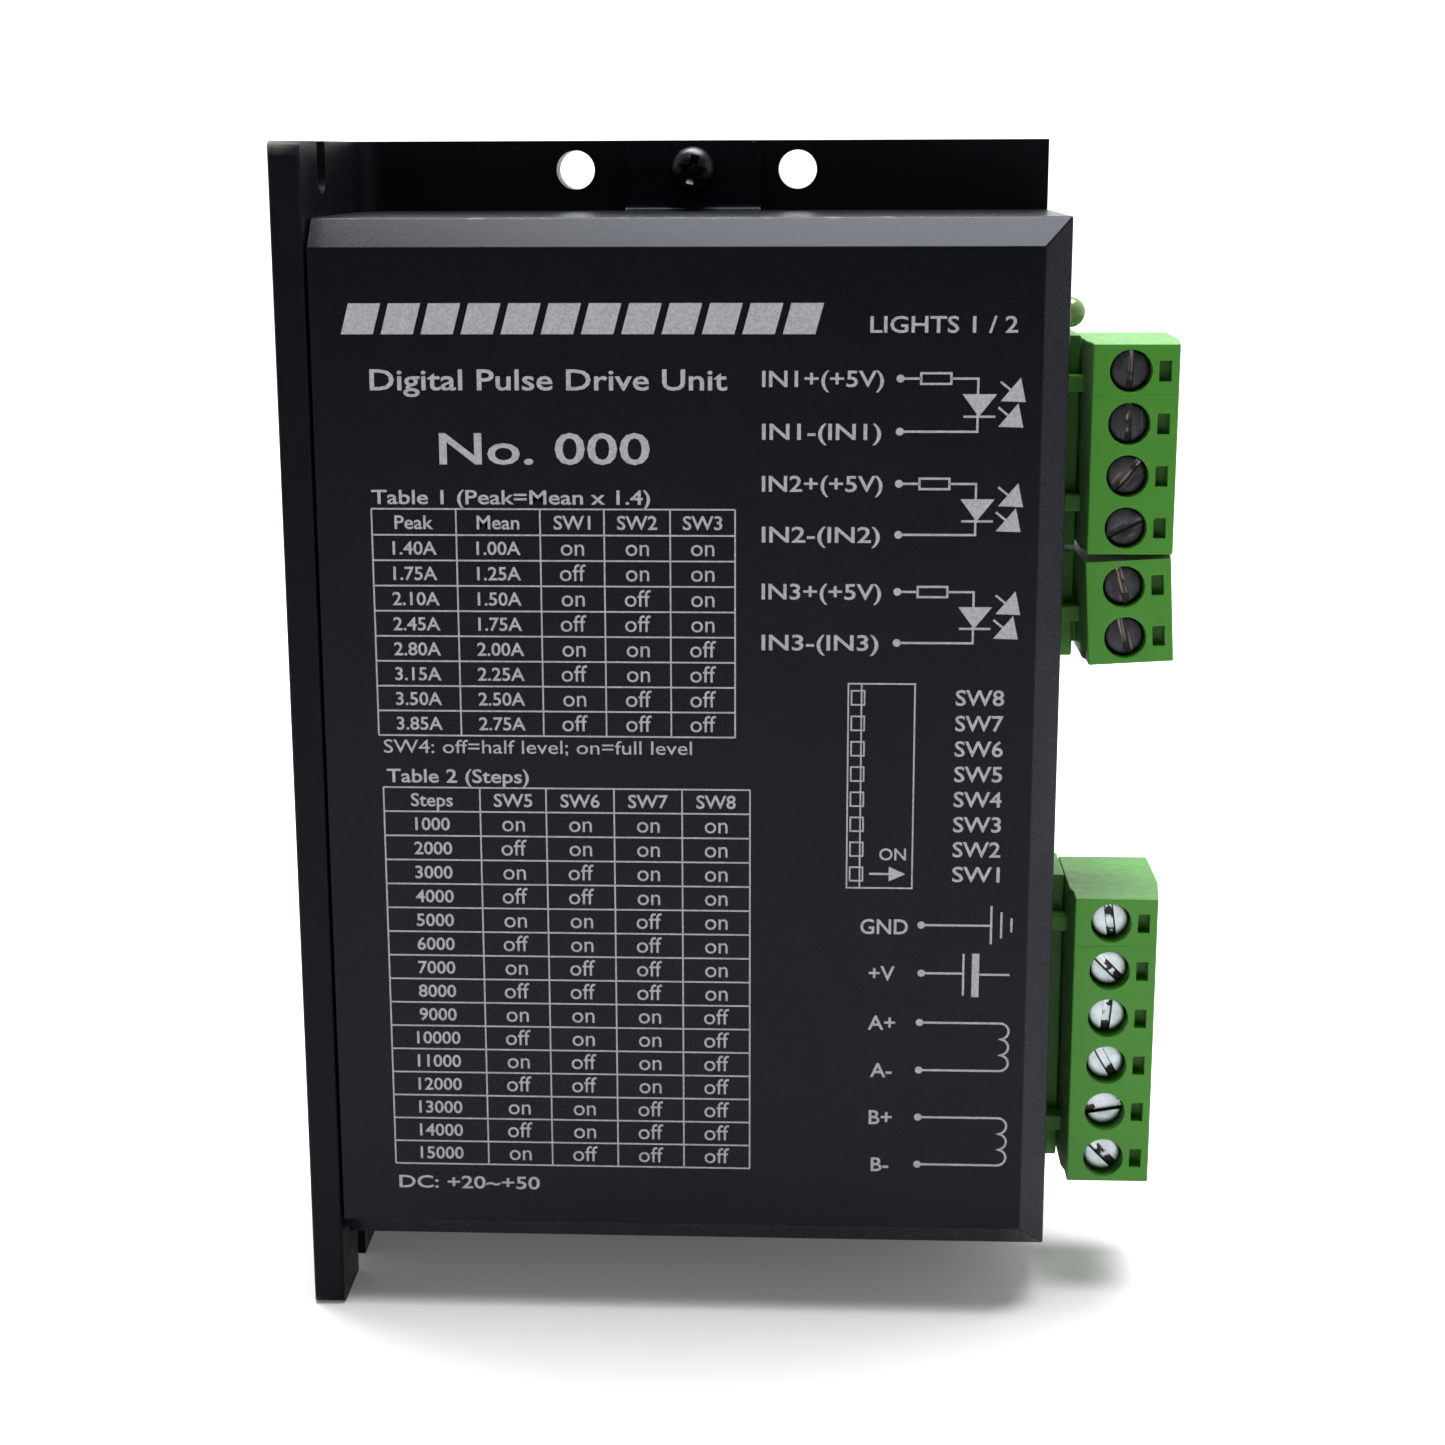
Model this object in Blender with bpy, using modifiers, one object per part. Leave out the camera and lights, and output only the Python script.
"""A stepper motor driver module: an L-shaped heatsink with a folded sheet cover, pluggable terminal
blocks, DIP switch and status lights along its right side, and the circuit board inside.

It stands upright on its lower end, with the front panel facing -Y and the terminals facing +X. Sizes are
in metres. Places are given as (across, depth, height): across from the leg's outer face, depth from the
front panel, height from the lower end. The origin is at the middle of the module's base."""

import math

import bmesh
import bpy
from mathutils import Matrix, Vector

# Whole module
HEIGHT = 0.118
DEPTH = 0.034
CASE_WIDTH = 0.0755
OVERALL_WIDTH = 0.08765
GAP = 0.0003
OVERSHOOT = 0.001
TOLERANCE = 1e-6
SMOOTH_ANGLE = math.radians(35)

# Heatsink extrusion: a leg along the left side and a plate across the back
LEG_THICKNESS = 0.00312
PLATE_FRONT = 0.0301
FILLET_RADIUS = 0.0035
EDGE_ROUNDING = 0.0004
PLATE_HOLE_RADIUS = 0.0022
PLATE_HOLE_SPACING = 0.0233
PLATE_HOLE_INSET = 0.003
LEG_SLOT_WIDTH = 0.0040
LEG_SLOT_DEPTH = 0.0102

# Folded cover
SHEET = 0.001
COVER_LEFT = 0.00344
COVER_BOTTOM = 0.007
COVER_TOP = 0.11116
COVER_BACK = PLATE_FRONT - GAP
TAB_STAND_OFF = 0.0001
CORNER_RELIEF = 0.0038
COVER_CHAMFER = 0.00277
TAB_CENTRE = 0.0385
TAB_WIDTH = 0.0142
TAB_CORNER = 0.0015
WINDOW_MARGIN = 0.0003
LEVER_WINDOW_LENGTH = 0.0198
LEVER_WINDOW_DEPTHS = (0.0136, 0.0210)

# Cover screws
HEAD_RADIUS = 0.00235
HEAD_HEIGHT = 0.0018
SHANK_RADIUS = 0.0013
SHANK_LENGTH = 0.0045
RECESS_HALF_LENGTH = 0.0015
RECESS_HALF_WIDTH = 0.0003
SCREW_HOLE_RADIUS = 0.0017

# Circuit board and what stands on it
BOARD_FRONT = 0.0222
BOARD_BACK = 0.0238
BOARD_LEFT = 0.0042
BOARD_RIGHT = 0.074
BOARD_BOTTOM = 0.0092
BOARD_TOP = 0.1090
BOARD_SCREWS = [(0.0105, 0.0145), (0.0105, 0.1035), (0.0585, 0.0145), (0.0585, 0.1035)]
BOARD_HEAD_RADIUS = 0.0025
BOARD_SHANK_LENGTH = 0.0056
STANDOFF_RADIUS = 0.003
CAPACITOR_RADIUS = 0.00625
CAPACITOR_FRONT = 0.0064
CAPACITOR_ROUNDING = 0.0006
CAPACITORS = [(0.0500, 0.0300), (0.0500, 0.0450)]
PROCESSOR_CENTRE = (0.0280, 0.0600)
PROCESSOR_SIZE = 0.014
PROCESSOR_HEIGHT = 0.0014
DRIVER_CHIPS = [(0.0440, 0.0320), (0.0440, 0.0560)]
DRIVER_CHIP_SIZE = (0.016, 0.014)
DRIVER_CHIP_BACK = 0.0272

# Terminal blocks: a plug with one screw and one wire clamp for each pole, in a socket on the board
POLE_PITCH = 0.00508
PLUG_END = 0.0026
PLUG_FRONT = 0.00597
PLUG_BACK = 0.0215
PLUG_LEFT = 0.0778
PLUG_LEFT_FRONT = 0.07808
PLUG_LEFT_STEP = (0.0085, 0.0098)
PLUG_RIGHT = 0.08717
PLUG_RIGHT_FRONT = 0.08642
PLUG_SLOPE_END = 0.0122
MATING_TIP = 0.0703
MATING_FRONT = 0.01465
MATING_BACK = 0.02075
MATING_END = 0.00185
FINGER_TIP = 0.0735
FINGER_FRONT = 0.0110
FINGER_BACK = 0.0132
FINGER_WIDTH = 0.0016
FINGER_SHIFT = 0.00084
SOCKET_LEFT = 0.0652
SOCKET_RIGHT = 0.07725
SOCKET_FLOOR = 0.0699
SOCKET_FRONT = 0.0135
SOCKET_BACK = 0.0219
SOCKET_END = 0.00288
SOCKET_WALL = 0.0008
PIN_PASSAGE = 0.0022
PIN_DEPTH = 0.0177

# Inside each pole of a plug
SCREW_ACROSS = 0.08177
SCREW_WELL_RADIUS = 0.00205
SCREW_WELL_FLOOR = 0.0093
SCREW_NECK_RADIUS = 0.0016
CLAMP_ROOM = (0.0052, 0.0097, 0.0043)
CLAMP_ROOM_FRONT = 0.0106
CLAMP_ROOM_REACH = 0.002
CLAMP_SIZE = (0.0044, 0.0062, 0.0037)
CLAMP_FRONT = 0.0138
CLAMP_WALL = 0.0012
CLAMP_SIDE_WALL = 0.0005
CLAMP_THREAD_RADIUS = 0.0015
WIRE_HOLE_FRONT = 0.0152
WIRE_HOLE_BACK = 0.0186
WIRE_HOLE_WIDTH = 0.0031
POCKET_LEFT = 0.08445
POCKET_RIGHT = 0.08565
POCKET_HEIGHT = 0.0020
POCKET_DEPTH = 0.0030

# Terminal screws
TERMINAL_HEAD_RADIUS = 0.0019
TERMINAL_HEAD_HEIGHT = 0.0015
TERMINAL_HEAD_EDGE = 0.0002
TERMINAL_SHANK_RADIUS = 0.0012
TERMINAL_LENGTH = 0.0089
TERMINAL_SLOT_WIDTH = 0.00065
TERMINAL_SLOT_DEPTH = 0.0008

# (name, poles, height of its middle, screw recess, tilt, pulled out by, slot turns from upright)
PLUGS = [
    ("control", 4, 0.08852, 0.0010, 0.0, 0.0, (2, 0, 40, 62)),
    ("enable", 2, 0.07210, 0.0010, math.radians(3.4), 0.0002, (-16, -14)),
    ("power", 6, 0.02783, 0.0014, 0.0, 0.0, (-8, -45, 5, -30, 80, -45)),
]
PLUG_PIVOT = (0.0740, 0.0177)
SHARED_WINDOWS = [("control", "enable"), ("power",)]

# DIP switch
LEVERS = 8
LEVER_PITCH = 0.00254
DIP_CENTRE = 0.05505
DIP_LENGTH = 0.0214
DIP_LEFT = 0.0674
DIP_RIGHT = 0.0742
DIP_FRONT = 0.0126
DIP_BACK = 0.0219
LEVER_SLOT = (0.0152, 0.0194)
LEVER_SLOT_WIDTH = 0.0016
LEVER_SLOT_FLOOR = 0.0726
LEVER_DEPTH = 0.0020
LEVER_WIDTH = 0.0010
LEVER_RIGHT = 0.0751

# Status lights: (name, depth, height, tip, how far its leads run before they bend)
LIGHTS = [
    ("power_led", 0.0126, 0.10135, 0.0779, 0.0022),
    ("alarm_led", 0.0161, 0.10095, 0.0776, 0.0010),
]
LIGHT_RADIUS = 0.0015
LIGHT_FLANGE_RADIUS = 0.0017
LIGHT_LENGTH = 0.0053
LIGHT_FLANGE = 0.0008
LEAD_SIZE = 0.0005
LEAD_DROP_SHARE = 0.8
LEAD_SPACING = 0.0025


def place(across, depth, height):
    """The point in the module's own frame, whose origin is at the middle of its base."""
    return Vector((across - OVERALL_WIDTH / 2, depth - DEPTH / 2, height))


def new_collection(name):
    collection = bpy.data.collections.new(name)
    bpy.context.scene.collection.children.link(collection)
    return collection


def new_material(name, colour, roughness, metallic=0.0, transmission=0.0):
    material = bpy.data.materials.new(name)
    material.use_nodes = True
    shader = material.node_tree.nodes["Principled BSDF"]
    shader.inputs["Base Color"].default_value = (*colour, 1.0)
    shader.inputs["Roughness"].default_value = roughness
    shader.inputs["Metallic"].default_value = metallic
    shader.inputs["Transmission Weight"].default_value = transmission
    return material


def add_box(shape, low, high):
    """Adds a box between two corners to a bmesh."""
    low, high = Vector(low), Vector(high)
    size = Matrix.Diagonal((*(high - low), 1.0))
    bmesh.ops.create_cube(shape, size=1.0, matrix=Matrix.Translation((low + high) / 2) @ size)


def add_rod(shape, start, direction, radius, length, segments=24):
    """Adds a round rod to a bmesh, from the point start along the direction X, Y or Z."""
    axis = Vector({"X": (1, 0, 0), "Y": (0, 1, 0), "Z": (0, 0, 1)}[direction])
    turn = axis.to_track_quat("Z", "X").to_matrix().to_4x4()
    bmesh.ops.create_cone(
        shape,
        cap_ends=True,
        segments=segments,
        radius1=radius,
        radius2=radius,
        depth=length,
        matrix=Matrix.Translation(Vector(start) + axis * length / 2) @ turn,
    )


def from_shape(name, shape, collection):
    """Turns a bmesh into an object of the collection."""
    mesh = bpy.data.meshes.new(name)
    shape.to_mesh(mesh)
    shape.free()
    obj = bpy.data.objects.new(name, mesh)
    collection.objects.link(obj)
    return obj


def blocks(name, collection, boxes=(), rods=()):
    """One object made of separate boxes (low, high) and rods (start, direction, radius, length)."""
    shape = bmesh.new()
    for low, high in boxes:
        add_box(shape, low, high)
    for rod in rods:
        add_rod(shape, *rod)
    return from_shape(name, shape, collection)


def arc(centre, radius, start, end, steps):
    """Points on a circle, from one angle to another in degrees."""
    angles = [math.radians(start + (end - start) * i / steps) for i in range(steps + 1)]
    return [(centre[0] + radius * math.cos(a), centre[1] + radius * math.sin(a)) for a in angles]


def extruded(name, outline, low, high, collection, direction="Z"):
    """A flat outline drawn out from low to high along Z, or along Y for an outline of (X, Z) points."""
    curve = bpy.data.curves.new(name + "_outline", "CURVE")
    curve.dimensions = "2D"
    curve.fill_mode = "BOTH"
    curve.extrude = (high - low) / 2
    spline = curve.splines.new("POLY")
    spline.points.add(len(outline) - 1)
    for point, (a, b) in zip(spline.points, outline):
        point.co = (a, b, 0.0, 1.0)
    spline.use_cyclic_u = True
    drawn = bpy.data.objects.new(name + "_outline", curve)
    collection.objects.link(drawn)
    middle = (low + high) / 2
    if direction == "Y":
        drawn.matrix_world = Matrix.Translation((0, middle, 0)) @ Matrix.Rotation(math.pi / 2, 4, "X")
    else:
        drawn.matrix_world = Matrix.Translation((0, 0, middle))
    bpy.context.view_layer.update()
    graph = bpy.context.evaluated_depsgraph_get()
    mesh = bpy.data.meshes.new_from_object(drawn.evaluated_get(graph))
    mesh.transform(drawn.matrix_world)
    shape = bmesh.new()
    shape.from_mesh(mesh)
    bmesh.ops.remove_doubles(shape, verts=shape.verts, dist=TOLERANCE)
    bmesh.ops.recalc_face_normals(shape, faces=shape.faces)
    bpy.data.meshes.remove(mesh)
    bpy.data.objects.remove(drawn)
    return from_shape(name, shape, collection)


def combine(target, tool, operation):
    """Adds an exact Boolean of the tool to the target, and hides the tool."""
    modifier = target.modifiers.new(tool.name, "BOOLEAN")
    modifier.operation = operation
    modifier.object = tool
    modifier.solver = "EXACT"
    tool.hide_render = True
    tool.display_type = "WIRE"


def cut(target, tool):
    combine(target, tool, "DIFFERENCE")


def join(target, tool):
    combine(target, tool, "UNION")


def settled(obj):
    """The mesh of the object with its modifiers applied, for pieces that are repeated."""
    bpy.context.view_layer.update()
    graph = bpy.context.evaluated_depsgraph_get()
    mesh = bpy.data.meshes.new_from_object(obj.evaluated_get(graph))
    bpy.data.objects.remove(obj)
    return mesh


def smooth(mesh):
    mesh.shade_smooth()
    mesh.set_sharp_from_angle(angle=SMOOTH_ANGLE)


def finish(obj, material):
    """Gives the object its material and smooth round faces."""
    obj.data.materials.clear()
    obj.data.materials.append(material)
    smooth(obj.data)
    return obj


def make_heatsink(parts, cutters, material):
    """The L-shaped extrusion, with holes through its plate and open slots in the ends of its leg."""
    left, front = place(0, 0, 0).xy
    right, back = place(CASE_WIDTH, DEPTH, 0).xy
    inner = left + LEG_THICKNESS
    plate = place(0, PLATE_FRONT, 0).y
    corner = (inner + FILLET_RADIUS, plate - FILLET_RADIUS)
    rounding = EDGE_ROUNDING
    outline = [
        (left, front + rounding),
        (left + rounding, front),
        (inner - rounding, front),
        (inner, front + rounding),
        *arc(corner, FILLET_RADIUS, 180, 90, 6),
        (right - rounding, plate),
        (right, plate + rounding),
        (right, back - rounding),
        (right - rounding, back),
        (left + rounding, back),
        (left, back - rounding),
    ]
    heatsink = extruded("heatsink_base", outline, 0.0, HEIGHT, parts)
    holes = []
    through = DEPTH - PLATE_FRONT + 2 * OVERSHOOT
    for height in (PLATE_HOLE_INSET, HEIGHT - PLATE_HOLE_INSET):
        for side in (-1, 1):
            across = CASE_WIDTH / 2 + side * PLATE_HOLE_SPACING / 2
            start = place(across, PLATE_FRONT - OVERSHOOT, height)
            holes.append((start, "Y", PLATE_HOLE_RADIUS, through, 32))
        start = place(TAB_CENTRE, PLATE_FRONT - OVERSHOOT, height)
        holes.append((start, "Y", SCREW_HOLE_RADIUS, through))
    cut(heatsink, blocks("plate_holes", cutters, rods=holes))
    radius = LEG_SLOT_WIDTH / 2
    low_end = PLATE_HOLE_INSET
    high_end = HEIGHT - PLATE_HOLE_INSET
    slots = blocks(
        "leg_slots",
        cutters,
        boxes=[
            (
                place(-OVERSHOOT, LEG_SLOT_DEPTH - radius, -OVERSHOOT),
                place(LEG_THICKNESS + OVERSHOOT, LEG_SLOT_DEPTH + radius, low_end),
            ),
            (
                place(-OVERSHOOT, LEG_SLOT_DEPTH - radius, high_end),
                place(LEG_THICKNESS + OVERSHOOT, LEG_SLOT_DEPTH + radius, HEIGHT + OVERSHOOT),
            ),
        ],
    )
    ends = blocks(
        "leg_slot_ends",
        cutters,
        rods=[
            (place(-OVERSHOOT, LEG_SLOT_DEPTH, end), "X", radius, LEG_THICKNESS + 2 * OVERSHOOT)
            for end in (low_end, high_end)
        ],
    )
    cut(heatsink, slots)
    cut(heatsink, ends)
    return finish(heatsink, material)


def cover_shell(parts):
    """The cover's folded sheet: front, top, bottom and right side, with sloped front edges."""
    shape = bmesh.new()
    wall_back = COVER_BACK - TAB_STAND_OFF
    add_box(shape, place(COVER_LEFT, 0, COVER_BOTTOM), place(CASE_WIDTH, wall_back, COVER_TOP))
    shape.edges.ensure_lookup_table()
    front = place(0, 0, 0).y
    left = place(COVER_LEFT, 0, 0).x
    folds = [
        edge
        for edge in shape.edges
        if all(abs(v.co.y - front) < TOLERANCE for v in edge.verts)
        and not all(abs(v.co.x - left) < TOLERANCE for v in edge.verts)
    ]
    bmesh.ops.bevel(
        shape, geom=folds, offset=COVER_CHAMFER, segments=1, profile=0.5, affect="EDGES"
    )
    open_sides = [f for f in shape.faces if f.normal.y > 0.9 or f.normal.x < -0.9]
    bmesh.ops.delete(shape, geom=open_sides, context="FACES")
    cover = from_shape("cover", shape, parts)
    solidify = cover.modifiers.new("sheet", "SOLIDIFY")
    solidify.thickness = SHEET
    solidify.offset = -1.0
    solidify.use_even_offset = True
    return cover


def tab_outline(fold, tip):
    """The outline of a screw tab, from inside the cover's wall to its rounded tip."""
    left = place(TAB_CENTRE - TAB_WIDTH / 2, 0, 0).x
    right = place(TAB_CENTRE + TAB_WIDTH / 2, 0, 0).x
    radius = TAB_CORNER
    if tip > fold:
        rounded = arc((right - radius, tip - radius), radius, 0, 90, 4)
        rounded += arc((left + radius, tip - radius), radius, 90, 180, 4)
        return [(left, fold), (right, fold), *rounded]
    rounded = arc((left + radius, tip + radius), radius, 180, 270, 4)
    rounded += arc((right - radius, tip + radius), radius, 270, 360, 4)
    return [(right, fold), (left, fold), *rounded]


def make_cover(parts, cutters, material):
    """The cover with its two screw tabs, and its windows for the sockets, switch and lights."""
    cover = cover_shell(parts)
    back = place(0, COVER_BACK, 0).y
    ends = [("top", COVER_TOP - SHEET / 2, HEIGHT), ("bottom", COVER_BOTTOM + SHEET / 2, 0.0)]
    for name, fold, tip in ends:
        outline = tab_outline(fold, tip)
        join(cover, extruded("tab_" + name, outline, back - SHEET, back, cutters, "Y"))
    left = place(COVER_LEFT, 0, 0).x
    relief = [
        (left - OVERSHOOT, back - CORNER_RELIEF - OVERSHOOT),
        (left + CORNER_RELIEF + OVERSHOOT, back + OVERSHOOT),
        (left - OVERSHOOT, back + OVERSHOOT),
    ]
    cut(cover, extruded("corner_relief", relief, 0.0, HEIGHT, cutters))
    tab_holes = [
        (place(TAB_CENTRE, COVER_BACK - 2 * SHEET, height), "Y", SCREW_HOLE_RADIUS, 3 * SHEET)
        for height in (PLATE_HOLE_INSET, HEIGHT - PLATE_HOLE_INSET)
    ]
    cut(cover, blocks("tab_holes", cutters, rods=tab_holes))
    wall = CASE_WIDTH - SHEET - OVERSHOOT
    windows = []
    for names in SHARED_WINDOWS:
        ends = []
        for name, poles, middle, *_ in PLUGS:
            half = (poles - 1) * POLE_PITCH / 2 + SOCKET_END + WINDOW_MARGIN
            ends += [middle - half, middle + half] if name in names else []
        low = place(wall, FINGER_FRONT - WINDOW_MARGIN, min(ends))
        high = place(CASE_WIDTH + OVERSHOOT, SOCKET_BACK + WINDOW_MARGIN, max(ends))
        windows.append((low, high))
    half = LEVER_WINDOW_LENGTH / 2
    low = place(wall, LEVER_WINDOW_DEPTHS[0], DIP_CENTRE - half)
    high = place(CASE_WIDTH + OVERSHOOT, LEVER_WINDOW_DEPTHS[1], DIP_CENTRE + half)
    windows.append((low, high))
    cut(cover, blocks("side_windows", cutters, boxes=windows))
    depths = [light[1] for light in LIGHTS]
    heights = [light[2] for light in LIGHTS]
    room = LIGHT_RADIUS + GAP
    low = place(wall - OVERSHOOT, min(depths) - room, min(heights) - 2 * room)
    high = place(CASE_WIDTH + 2 * OVERSHOOT, max(depths) + room, max(heights) + room)
    cut(cover, blocks("light_window", cutters, boxes=[(low, high)]))
    return finish(cover, material)


def make_cover_screws(parts, cutters, material):
    """Cross-recess pan-head screws that hold the tabs to the plate."""
    for name, height in (("bottom", PLATE_HOLE_INSET), ("top", HEIGHT - PLATE_HOLE_INSET)):
        face = COVER_BACK - SHEET - GAP - HEAD_HEIGHT
        screw = blocks(
            "cover_screw_" + name,
            parts,
            rods=[(place(TAB_CENTRE, face, height), "Y", HEAD_RADIUS, HEAD_HEIGHT)],
        )
        shank_start = place(TAB_CENTRE, face + HEAD_HEIGHT / 2, height)
        shank_length = HEAD_HEIGHT / 2 + SHANK_LENGTH
        shank = blocks(
            "shank_" + name, cutters, rods=[(shank_start, "Y", SHANK_RADIUS, shank_length, 16)]
        )
        join(screw, shank)
        arms = [
            ("flat", RECESS_HALF_LENGTH, RECESS_HALF_WIDTH),
            ("upright", RECESS_HALF_WIDTH, RECESS_HALF_LENGTH),
        ]
        for arm, wide, tall in arms:
            low = place(TAB_CENTRE - wide, face - OVERSHOOT, height - tall)
            high = place(TAB_CENTRE + wide, face + HEAD_HEIGHT / 2, height + tall)
            cut(screw, blocks(f"recess_{name}_{arm}", cutters, boxes=[(low, high)]))
        finish(screw, material)


def make_board(parts, cutters, material):
    """The circuit board, parallel to the front panel."""
    low = place(BOARD_LEFT, BOARD_FRONT, BOARD_BOTTOM)
    high = place(BOARD_RIGHT, BOARD_BACK, BOARD_TOP)
    board = blocks("circuit_board", parts, boxes=[(low, high)])
    through = BOARD_BACK - BOARD_FRONT + 2 * OVERSHOOT
    holes = [
        (place(across, BOARD_FRONT - OVERSHOOT, height), "Y", SCREW_HOLE_RADIUS, through)
        for across, height in BOARD_SCREWS
    ]
    cut(board, blocks("board_holes", cutters, rods=holes))
    return finish(board, material)


def make_board_fixings(parts, cutters, brass, steel):
    """Six-sided standoffs between the plate and the board, and the screws that go into them."""
    for number, (across, height) in enumerate(BOARD_SCREWS, 1):
        start = place(across, BOARD_BACK + GAP, height)
        length = PLATE_FRONT - BOARD_BACK - 2 * GAP
        standoff = blocks(
            f"board_standoff_{number}", parts, rods=[(start, "Y", STANDOFF_RADIUS, length, 6)]
        )
        bore_start = start - Vector((0, OVERSHOOT, 0))
        bore = blocks(
            f"standoff_bore_{number}",
            cutters,
            rods=[(bore_start, "Y", SCREW_HOLE_RADIUS, length, 16)],
        )
        cut(standoff, bore)
        finish(standoff, brass)
        face = BOARD_FRONT - GAP - HEAD_HEIGHT
        head = (place(across, face, height), "Y", BOARD_HEAD_RADIUS, HEAD_HEIGHT, 20)
        screw = blocks(f"board_screw_{number}", parts, rods=[head])
        shank_start = place(across, face + HEAD_HEIGHT / 2, height)
        shank_length = HEAD_HEIGHT / 2 + BOARD_SHANK_LENGTH
        shank = blocks(
            f"board_shank_{number}",
            cutters,
            rods=[(shank_start, "Y", SHANK_RADIUS, shank_length, 12)],
        )
        join(screw, shank)
        finish(screw, steel)


def make_board_parts(parts, aluminium, black, pad):
    """Capacitors and processor on the front of the board, power chips and their pad behind it."""
    for number, (across, height) in enumerate(CAPACITORS, 1):
        start = place(across, CAPACITOR_FRONT, height)
        length = BOARD_FRONT - GAP - CAPACITOR_FRONT
        can = blocks(f"capacitor_{number}", parts, rods=[(start, "Y", CAPACITOR_RADIUS, length)])
        bevel = can.modifiers.new("rounded_ends", "BEVEL")
        bevel.width = CAPACITOR_ROUNDING
        bevel.segments = 2
        bevel.limit_method = "ANGLE"
        finish(can, aluminium)
    across, height = PROCESSOR_CENTRE
    half = PROCESSOR_SIZE / 2
    low = place(across - half, BOARD_FRONT - GAP - PROCESSOR_HEIGHT, height - half)
    high = place(across + half, BOARD_FRONT - GAP, height + half)
    finish(blocks("processor_chip", parts, boxes=[(low, high)]), black)
    wide, tall = DRIVER_CHIP_SIZE[0] / 2, DRIVER_CHIP_SIZE[1] / 2
    for number, (across, height) in enumerate(DRIVER_CHIPS, 1):
        low = place(across - wide, BOARD_BACK + GAP, height - tall)
        high = place(across + wide, DRIVER_CHIP_BACK, height + tall)
        finish(blocks(f"power_chip_{number}", parts, boxes=[(low, high)]), black)
    across = DRIVER_CHIPS[0][0]
    low = place(across - wide, DRIVER_CHIP_BACK + GAP, DRIVER_CHIPS[0][1] - tall)
    high = place(across + wide, PLATE_FRONT - GAP, DRIVER_CHIPS[1][1] + tall)
    finish(blocks("thermal_pad", parts, boxes=[(low, high)]), pad)


def turned_mesh(profile, direction, steps, cutters):
    """The mesh of a turned piece about its own axis, X or Y, from a profile of (radius, distance along the
    axis) that starts and ends on the axis and goes from its far end back to its near one."""
    shape = bmesh.new()
    points = [shape.verts.new((radius, 0.0, along)) for radius, along in profile]
    for first, second in zip(points, points[1:]):
        shape.edges.new((first, second))
    turned = from_shape("turned_piece", shape, cutters)
    screw = turned.modifiers.new("turn", "SCREW")
    screw.steps = steps
    screw.render_steps = steps
    screw.use_merge_vertices = True
    screw.merge_threshold = TOLERANCE
    mesh = settled(turned)
    if direction == "X":
        mesh.transform(Matrix.Rotation(math.pi / 2, 4, "Y"))
    else:
        mesh.transform(Matrix.Rotation(-math.pi / 2, 4, "X"))
    return mesh


def make_lights(parts, cutters, materials):
    """Round-nosed status lights, lying on their sides, with leads down to the board."""
    for (name, depth, height, tip, run), material in zip(LIGHTS, materials):
        nose = arc((LIGHT_LENGTH - LIGHT_RADIUS, 0.0), LIGHT_RADIUS, 0, 90, 6)
        profile = [
            (0.0, LIGHT_LENGTH),
            *[(radius, along) for along, radius in nose[1:]],
            (LIGHT_RADIUS, LIGHT_FLANGE),
            (LIGHT_FLANGE_RADIUS, LIGHT_FLANGE),
            (LIGHT_FLANGE_RADIUS, 0.0),
            (0.0, 0.0),
        ]
        light = bpy.data.objects.new(name, turned_mesh(profile, "X", 16, cutters))
        parts.objects.link(light)
        base = tip - LIGHT_LENGTH
        light.location = place(base, depth, height)
        half = LEAD_SIZE / 2
        drop = LEAD_DROP_SHARE * half
        bend = base - run
        runs = []
        drops = []
        for side in (-1, 1):
            level = height + side * LEAD_SPACING / 2
            runs.append(
                (
                    place(bend - half, depth - half, level - half),
                    place(base + half, depth + half, level + half),
                )
            )
            drops.append(
                (
                    place(bend - drop, depth, level - drop),
                    place(bend + drop, BOARD_FRONT - GAP, level + drop),
                )
            )
        join(light, blocks(name + "_lead_runs", cutters, boxes=runs))
        join(light, blocks(name + "_lead_drops", cutters, boxes=drops))
        finish(light, material)


def pole_heights(poles, middle):
    """The heights of a plug's poles, from its top one down."""
    return [middle + ((poles - 1) / 2 - i) * POLE_PITCH for i in range(poles)]


def make_socket(name, poles, middle, parts, cutters, material):
    """The plastic socket on the board that a plug pushes into."""
    half = (poles - 1) * POLE_PITCH / 2 + SOCKET_END
    low = place(SOCKET_LEFT, SOCKET_FRONT, middle - half)
    high = place(SOCKET_RIGHT, SOCKET_BACK, middle + half)
    socket = blocks(name + "_socket", parts, boxes=[(low, high)])
    wall = SOCKET_WALL
    low = place(SOCKET_FLOOR, SOCKET_FRONT + wall, middle - half + wall)
    high = place(SOCKET_RIGHT + OVERSHOOT, SOCKET_BACK - wall, middle + half - wall)
    cut(socket, blocks(name + "_socket_room", cutters, boxes=[(low, high)]))
    return finish(socket, material)


def plug_outline(pivot):
    """The body of a plug seen from above, about its pivot."""
    corners = [
        (PLUG_LEFT_FRONT, PLUG_FRONT),
        (PLUG_RIGHT_FRONT, PLUG_FRONT),
        (PLUG_RIGHT, PLUG_SLOPE_END),
        (PLUG_RIGHT, PLUG_BACK),
        (PLUG_LEFT, PLUG_BACK),
        (PLUG_LEFT, PLUG_LEFT_STEP[1]),
        (PLUG_LEFT_FRONT, PLUG_LEFT_STEP[0]),
    ]
    return [tuple((place(across, depth, 0) - pivot).xy) for across, depth in corners]


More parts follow.
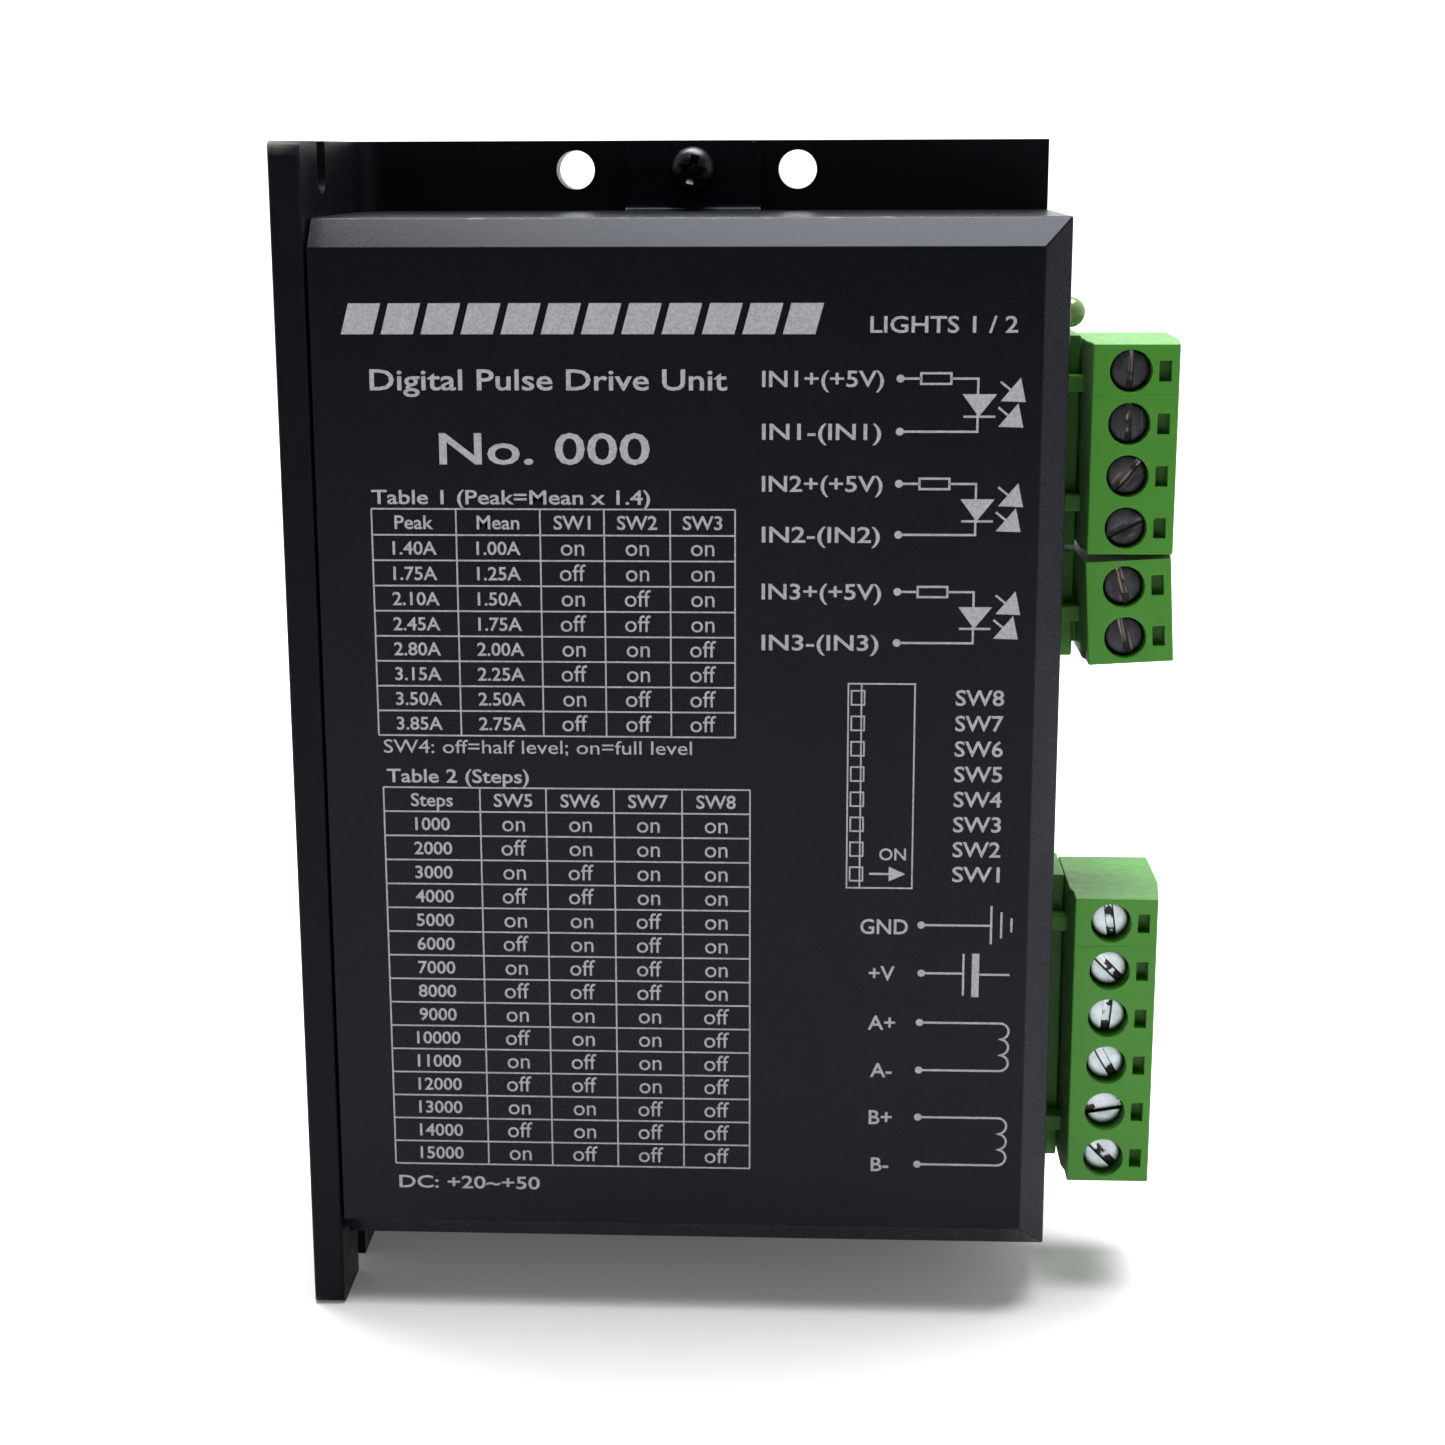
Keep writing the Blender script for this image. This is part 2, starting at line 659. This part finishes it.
def make_plug_housing(name, poles, pivot, parts, cutters, material):
    """A plug's housing about its pivot: body, mating part, fingers, and its holes at every pole."""
    half = (poles - 1) * POLE_PITCH / 2

    def at(across, depth, height):
        return place(across, depth, pivot.z + height) - pivot

    housing = extruded(name + "_plug", plug_outline(pivot), -half - PLUG_END, half + PLUG_END, parts)
    mating = [
        (
            at(MATING_TIP, MATING_FRONT, -half - MATING_END),
            at(PLUG_LEFT + OVERSHOOT, MATING_BACK, half + MATING_END),
        )
    ]
    outer_gap = half - POLE_PITCH / 2 + FINGER_SHIFT
    fingers = [
        (
            at(FINGER_TIP, FINGER_FRONT, level - FINGER_WIDTH / 2),
            at(PLUG_LEFT + OVERSHOOT, FINGER_BACK, level + FINGER_WIDTH / 2),
        )
        for level in ([-outer_gap] if poles == 2 else [-outer_gap, outer_gap])
    ]
    wells, necks, rooms, wire_holes, passages, pockets = [], [], [], [], [], []
    room_across, room_deep, room_tall = CLAMP_ROOM
    for level in pole_heights(poles, 0.0):
        start = at(SCREW_ACROSS, PLUG_FRONT - OVERSHOOT, level)
        depth = SCREW_WELL_FLOOR - PLUG_FRONT + OVERSHOOT
        wells.append((start, "Y", SCREW_WELL_RADIUS, depth, 28))
        start = at(SCREW_ACROSS, SCREW_WELL_FLOOR - OVERSHOOT, level)
        depth = CLAMP_ROOM_FRONT - SCREW_WELL_FLOOR + 2 * OVERSHOOT
        necks.append((start, "Y", SCREW_NECK_RADIUS, depth, 16))
        rooms.append(
            (
                at(SCREW_ACROSS - room_across / 2, CLAMP_ROOM_FRONT, level - room_tall / 2),
                at(SCREW_ACROSS + room_across / 2, CLAMP_ROOM_FRONT + room_deep, level + room_tall / 2),
            )
        )
        wire_holes.append(
            (
                at(SCREW_ACROSS + CLAMP_ROOM_REACH, WIRE_HOLE_FRONT, level - WIRE_HOLE_WIDTH / 2),
                at(PLUG_RIGHT + OVERSHOOT, WIRE_HOLE_BACK, level + WIRE_HOLE_WIDTH / 2),
            )
        )
        passages.append(
            (
                at(MATING_TIP - OVERSHOOT, PIN_DEPTH - PIN_PASSAGE / 2, level - PIN_PASSAGE / 2),
                at(SCREW_ACROSS - CLAMP_ROOM_REACH, PIN_DEPTH + PIN_PASSAGE / 2, level + PIN_PASSAGE / 2),
            )
        )
        pockets.append(
            (
                at(POCKET_LEFT, PLUG_FRONT - OVERSHOOT, level - POCKET_HEIGHT / 2),
                at(POCKET_RIGHT, PLUG_FRONT + POCKET_DEPTH, level + POCKET_HEIGHT / 2),
            )
        )
    join(housing, blocks(name + "_mating", cutters, boxes=mating))
    join(housing, blocks(name + "_fingers", cutters, boxes=fingers))
    cut(housing, blocks(name + "_wells", cutters, boxes=pockets, rods=wells))
    cut(housing, blocks(name + "_necks", cutters, rods=necks))
    cut(housing, blocks(name + "_rooms", cutters, boxes=rooms))
    cut(housing, blocks(name + "_wire_holes", cutters, boxes=wire_holes))
    cut(housing, blocks(name + "_passages", cutters, boxes=passages))
    return finish(housing, material)


def terminal_screw_mesh(cutters):
    """A slotted terminal screw about its own axis: the head's face at the origin, the tip towards +Y."""
    profile = [
        (0.0, TERMINAL_LENGTH),
        (TERMINAL_SHANK_RADIUS, TERMINAL_LENGTH),
        (TERMINAL_SHANK_RADIUS, TERMINAL_HEAD_HEIGHT),
        (TERMINAL_HEAD_RADIUS, TERMINAL_HEAD_HEIGHT),
        (TERMINAL_HEAD_RADIUS, TERMINAL_HEAD_EDGE),
        (TERMINAL_HEAD_RADIUS - TERMINAL_HEAD_EDGE, 0.0),
        (0.0, 0.0),
    ]
    body = bpy.data.objects.new("screw_body", turned_mesh(profile, "Y", 20, cutters))
    cutters.objects.link(body)
    half = TERMINAL_SLOT_WIDTH / 2
    reach = TERMINAL_HEAD_RADIUS + OVERSHOOT
    slot = blocks(
        "screw_slot",
        cutters,
        boxes=[((-half, -OVERSHOOT, -reach), (half, TERMINAL_SLOT_DEPTH, reach))],
    )
    cut(body, slot)
    mesh = settled(body)
    bpy.data.objects.remove(slot)
    smooth(mesh)
    return mesh


def clamp_mesh(cutters):
    """A wire clamp about the screw's axis: a square cage, open along X for the wire."""
    wide, deep, tall = CLAMP_SIZE
    body = blocks("clamp_body", cutters, boxes=[((-wide / 2, 0, -tall / 2), (wide / 2, deep, tall / 2))])
    room = blocks(
        "clamp_room",
        cutters,
        boxes=[
            (
                (-wide / 2 - OVERSHOOT, CLAMP_WALL, -tall / 2 + CLAMP_SIDE_WALL),
                (wide / 2 + OVERSHOOT, deep - CLAMP_WALL, tall / 2 - CLAMP_SIDE_WALL),
            )
        ],
    )
    thread = blocks(
        "clamp_thread",
        cutters,
        rods=[((0, -OVERSHOOT, 0), "Y", CLAMP_THREAD_RADIUS, 2 * OVERSHOOT + CLAMP_WALL, 16)],
    )
    cut(body, room)
    cut(body, thread)
    mesh = settled(body)
    for tool in (room, thread):
        bpy.data.objects.remove(tool)
    smooth(mesh)
    return mesh


def make_terminals(parts, cutters, green, dark_steel, zinc, clamp_steel):
    """The three plugs in their sockets, each hung from an empty that also carries its screws and clamps."""
    screw_mesh = terminal_screw_mesh(cutters)
    clamp = clamp_mesh(cutters)
    clamp.materials.append(clamp_steel)
    screw_meshes = {}
    for label, steel in (("dark", dark_steel), ("zinc", zinc)):
        screw_meshes[label] = screw_mesh.copy()
        screw_meshes[label].materials.append(steel)
    for name, poles, middle, recess, tilt, pulled_out, slot_turns in PLUGS:
        make_socket(name, poles, middle, parts, cutters, green)
        pivot = place(*PLUG_PIVOT, middle)
        empty = bpy.data.objects.new(name + "_plug_pivot", None)
        parts.objects.link(empty)
        empty.location = pivot + Vector((pulled_out, 0, 0))
        empty.rotation_euler = (0, -tilt, 0)
        housing = make_plug_housing(name, poles, pivot, parts, cutters, green)
        housing.parent = empty
        for modifier in housing.modifiers:
            modifier.object.parent = empty
        label = "zinc" if name == "power" else "dark"
        for number, level in enumerate(pole_heights(poles, 0.0), 1):
            turn = math.radians(slot_turns[number - 1])
            screw = bpy.data.objects.new(f"{name}_screw_{number}", screw_meshes[label])
            screw.location = place(SCREW_ACROSS, PLUG_FRONT + recess, pivot.z + level) - pivot
            screw.rotation_euler = (0, turn + tilt, 0)
            cage = bpy.data.objects.new(f"{name}_clamp_{number}", clamp)
            cage.location = place(SCREW_ACROSS, CLAMP_FRONT, pivot.z + level) - pivot
            for piece in (screw, cage):
                parts.objects.link(piece)
                piece.parent = empty


def make_dip_switch(parts, cutters, body_material, lever_material):
    """The DIP switch, standing on the board with its levers facing right."""
    half = DIP_LENGTH / 2
    low = place(DIP_LEFT, DIP_FRONT, DIP_CENTRE - half)
    high = place(DIP_RIGHT, DIP_BACK, DIP_CENTRE + half)
    body = blocks("dip_switch_body", parts, boxes=[(low, high)])
    slots = []
    for number in range(LEVERS):
        level = DIP_CENTRE + (number - (LEVERS - 1) / 2) * LEVER_PITCH
        slots.append(
            (
                place(LEVER_SLOT_FLOOR, LEVER_SLOT[0], level - LEVER_SLOT_WIDTH / 2),
                place(DIP_RIGHT + OVERSHOOT, LEVER_SLOT[1], level + LEVER_SLOT_WIDTH / 2),
            )
        )
        middle = place(
            (LEVER_SLOT_FLOOR + GAP + LEVER_RIGHT) / 2,
            LEVER_SLOT[0] + GAP + LEVER_DEPTH / 2,
            level,
        )
        half_size = Vector((LEVER_RIGHT - LEVER_SLOT_FLOOR - GAP, LEVER_DEPTH, LEVER_WIDTH)) / 2
        lever = blocks(f"dip_lever_{number + 1}", parts, boxes=[(-half_size, half_size)])
        lever.location = middle
        finish(lever, lever_material)
    cut(body, blocks("lever_slots", cutters, boxes=slots))
    return finish(body, body_material)


def main():
    for obj in list(bpy.data.objects):
        bpy.data.objects.remove(obj)
    parts = new_collection("stepper_driver")
    cutters = new_collection("cutters")

    anodised = new_material("black_anodised", (0.012, 0.012, 0.014), 0.45, 0.3)
    coated = new_material("black_coated", (0.010, 0.010, 0.013), 0.55)
    blackened = new_material("blackened_steel", (0.03, 0.03, 0.032), 0.35, 0.9)
    dark_steel = new_material("dark_steel", (0.08, 0.075, 0.07), 0.4, 0.9)
    zinc = new_material("zinc_steel", (0.70, 0.72, 0.74), 0.3, 1.0)
    tinned = new_material("tinned_brass", (0.66, 0.64, 0.58), 0.35, 1.0)
    brass = new_material("brass", (0.60, 0.43, 0.18), 0.35, 1.0)
    green = new_material("green_plastic", (0.06, 0.24, 0.03), 0.45)
    board_green = new_material("board_green", (0.01, 0.09, 0.03), 0.4)
    chip_black = new_material("chip_black", (0.015, 0.015, 0.015), 0.5)
    can = new_material("capacitor_can", (0.05, 0.05, 0.07), 0.4)
    pad_grey = new_material("pad_grey", (0.35, 0.38, 0.42), 0.8)
    dip_blue = new_material("dip_body", (0.02, 0.06, 0.25), 0.4)
    lever_white = new_material("lever_white", (0.80, 0.80, 0.76), 0.4)
    light_green = new_material("light_green", (0.15, 0.5, 0.1), 0.1, 0.0, 0.6)
    light_pale = new_material("light_pale", (0.65, 0.72, 0.62), 0.1, 0.0, 0.6)

    make_heatsink(parts, cutters, anodised)
    make_cover(parts, cutters, coated)
    make_cover_screws(parts, cutters, blackened)
    make_board(parts, cutters, board_green)
    make_board_fixings(parts, cutters, brass, zinc)
    make_board_parts(parts, can, chip_black, pad_grey)
    make_lights(parts, cutters, (light_green, light_pale))
    make_terminals(parts, cutters, green, dark_steel, zinc, tinned)
    make_dip_switch(parts, cutters, dip_blue, lever_white)


main()
